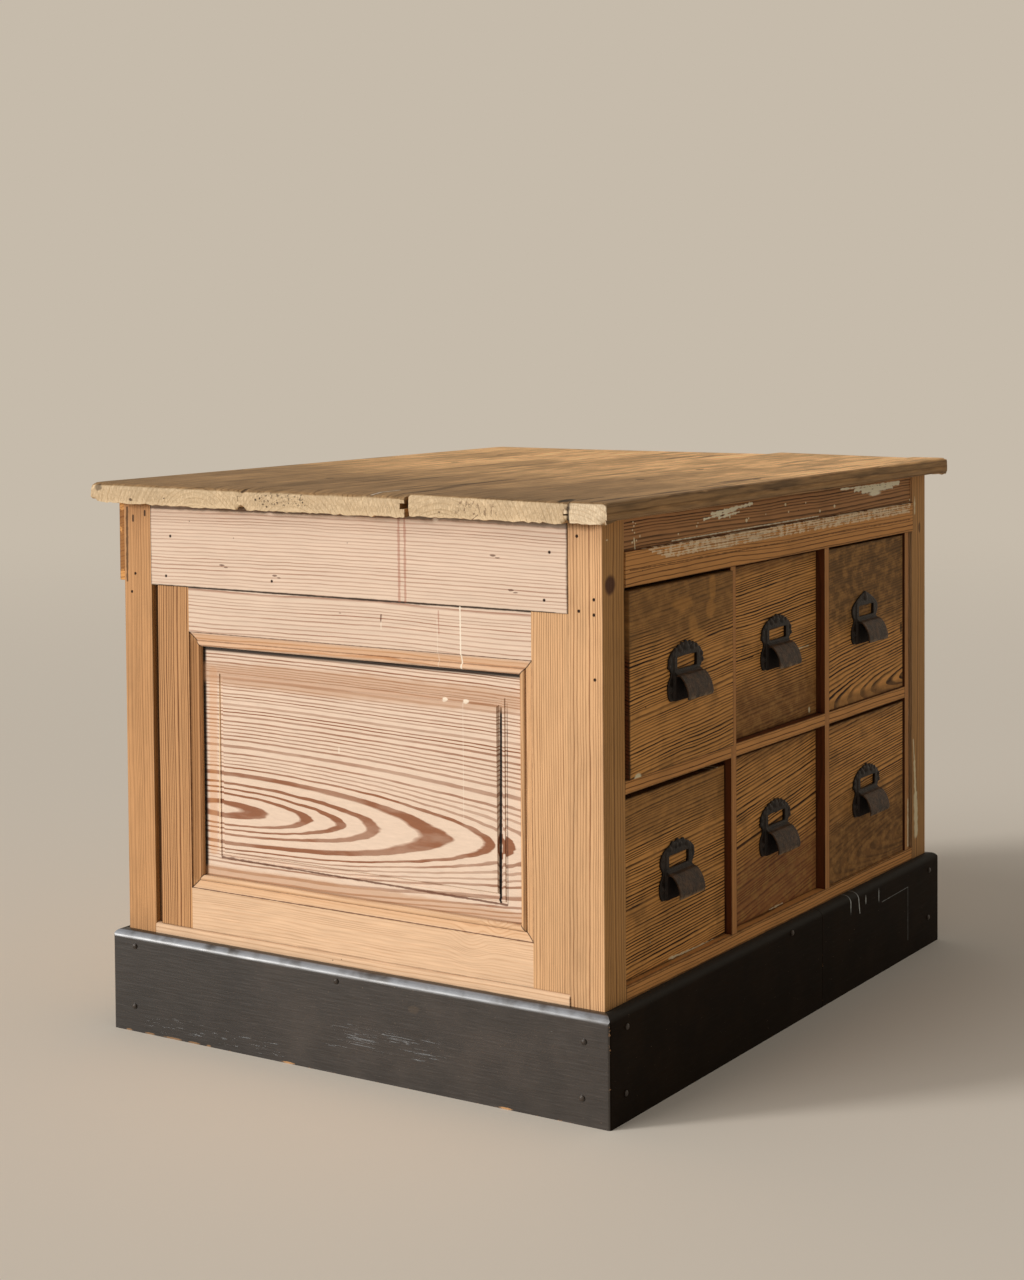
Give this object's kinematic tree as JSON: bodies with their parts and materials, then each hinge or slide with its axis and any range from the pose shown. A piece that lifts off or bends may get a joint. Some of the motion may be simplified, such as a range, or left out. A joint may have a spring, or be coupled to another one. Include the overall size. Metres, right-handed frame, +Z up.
{
  "type": "pine shop counter with drawers",
  "caption": "Free-standing pine shop counter with drawers on one side, panelled ends, plank top and painted plinth.",
  "frame": {"origin": "middle of the overall box, on the floor", "axes": "+X along the drawer face, -Y out of the drawer face, +Z up"},
  "size_m": [1.196, 0.937, 0.862],
  "materials": {
    "pale_pine": "stripped and waxed, satin",
    "tan_pine": "stripped and waxed, satin",
    "drawer_front_pine": "dark waxed, ridged grain",
    "dark_pine": "dark waxed, paint remnants",
    "inner_pine": "unfinished",
    "top_pine": "weathered and waxed",
    "black_paint": "black satin paint, chipped",
    "cast_iron": "rusty, waxed"
  },
  "bodies": {
    "carcass": {"back_apron": "inner_pine", "back_boards": "inner_pine", "bottom_rail": "dark_pine", "divider_1": "inner_pine", "divider_2": "inner_pine", "drawer_runners": "inner_pine", "fascia_board": "dark_pine", "floor_board": "inner_pine", "left_bottom_strip": "pale_pine", "left_frieze": "pale_pine", "left_panel": "pale_pine", "left_partition": "inner_pine", "left_rail_bottom": "pale_pine", "left_rail_top": "pale_pine", "left_stile_back": "tan_pine", "left_stile_front": "tan_pine", "mid_rails": "dark_pine", "plinth_back": "black_paint", "plinth_front_left": "black_paint", "plinth_front_right": "black_paint", "plinth_left": "black_paint", "plinth_right": "black_paint", "post_back_left": "tan_pine", "post_back_right": "tan_pine", "post_front_left": "tan_pine", "post_front_right": "tan_pine", "right_bottom_strip": "pale_pine", "right_frieze": "pale_pine", "right_panel": "pale_pine", "right_partition": "inner_pine", "right_rail_bottom": "pale_pine", "right_rail_top": "pale_pine", "right_stile_back": "tan_pine", "right_stile_front": "tan_pine", "top_battens": "inner_pine", "top_drawer_rail": "dark_pine", "top_nosing": "top_pine", "top_plank_back": "top_pine", "top_plank_front": "top_pine", "top_plank_middle": "top_pine"},
    "drawer_1": {"drawer_1_front": "drawer_front_pine", "drawer_1_box": "inner_pine", "drawer_1_pull": "cast_iron"},
    "drawer_2": {"drawer_2_front": "drawer_front_pine", "drawer_2_box": "inner_pine", "drawer_2_pull": "cast_iron"},
    "drawer_3": {"drawer_3_front": "drawer_front_pine", "drawer_3_box": "inner_pine", "drawer_3_pull": "cast_iron"},
    "drawer_4": {"drawer_4_front": "drawer_front_pine", "drawer_4_box": "inner_pine", "drawer_4_pull": "cast_iron"},
    "drawer_5": {"drawer_5_front": "drawer_front_pine", "drawer_5_box": "inner_pine", "drawer_5_pull": "cast_iron"},
    "drawer_6": {"drawer_6_front": "drawer_front_pine", "drawer_6_box": "inner_pine", "drawer_6_pull": "cast_iron"}
  },
  "joints": [
    {"name": "drawer_1_slide", "type": "slide", "parent": "carcass", "child": "drawer_1", "axis": [0, -1, 0], "range_m": [0, 0.45]},
    {"name": "drawer_2_slide", "type": "slide", "parent": "carcass", "child": "drawer_2", "axis": [0, -1, 0], "range_m": [0, 0.45]},
    {"name": "drawer_3_slide", "type": "slide", "parent": "carcass", "child": "drawer_3", "axis": [0, -1, 0], "range_m": [0, 0.45]},
    {"name": "drawer_4_slide", "type": "slide", "parent": "carcass", "child": "drawer_4", "axis": [0, -1, 0], "range_m": [0, 0.45]},
    {"name": "drawer_5_slide", "type": "slide", "parent": "carcass", "child": "drawer_5", "axis": [0, -1, 0], "range_m": [0, 0.45]},
    {"name": "drawer_6_slide", "type": "slide", "parent": "carcass", "child": "drawer_6", "axis": [0, -1, 0], "range_m": [0, 0.45]}
  ]
}
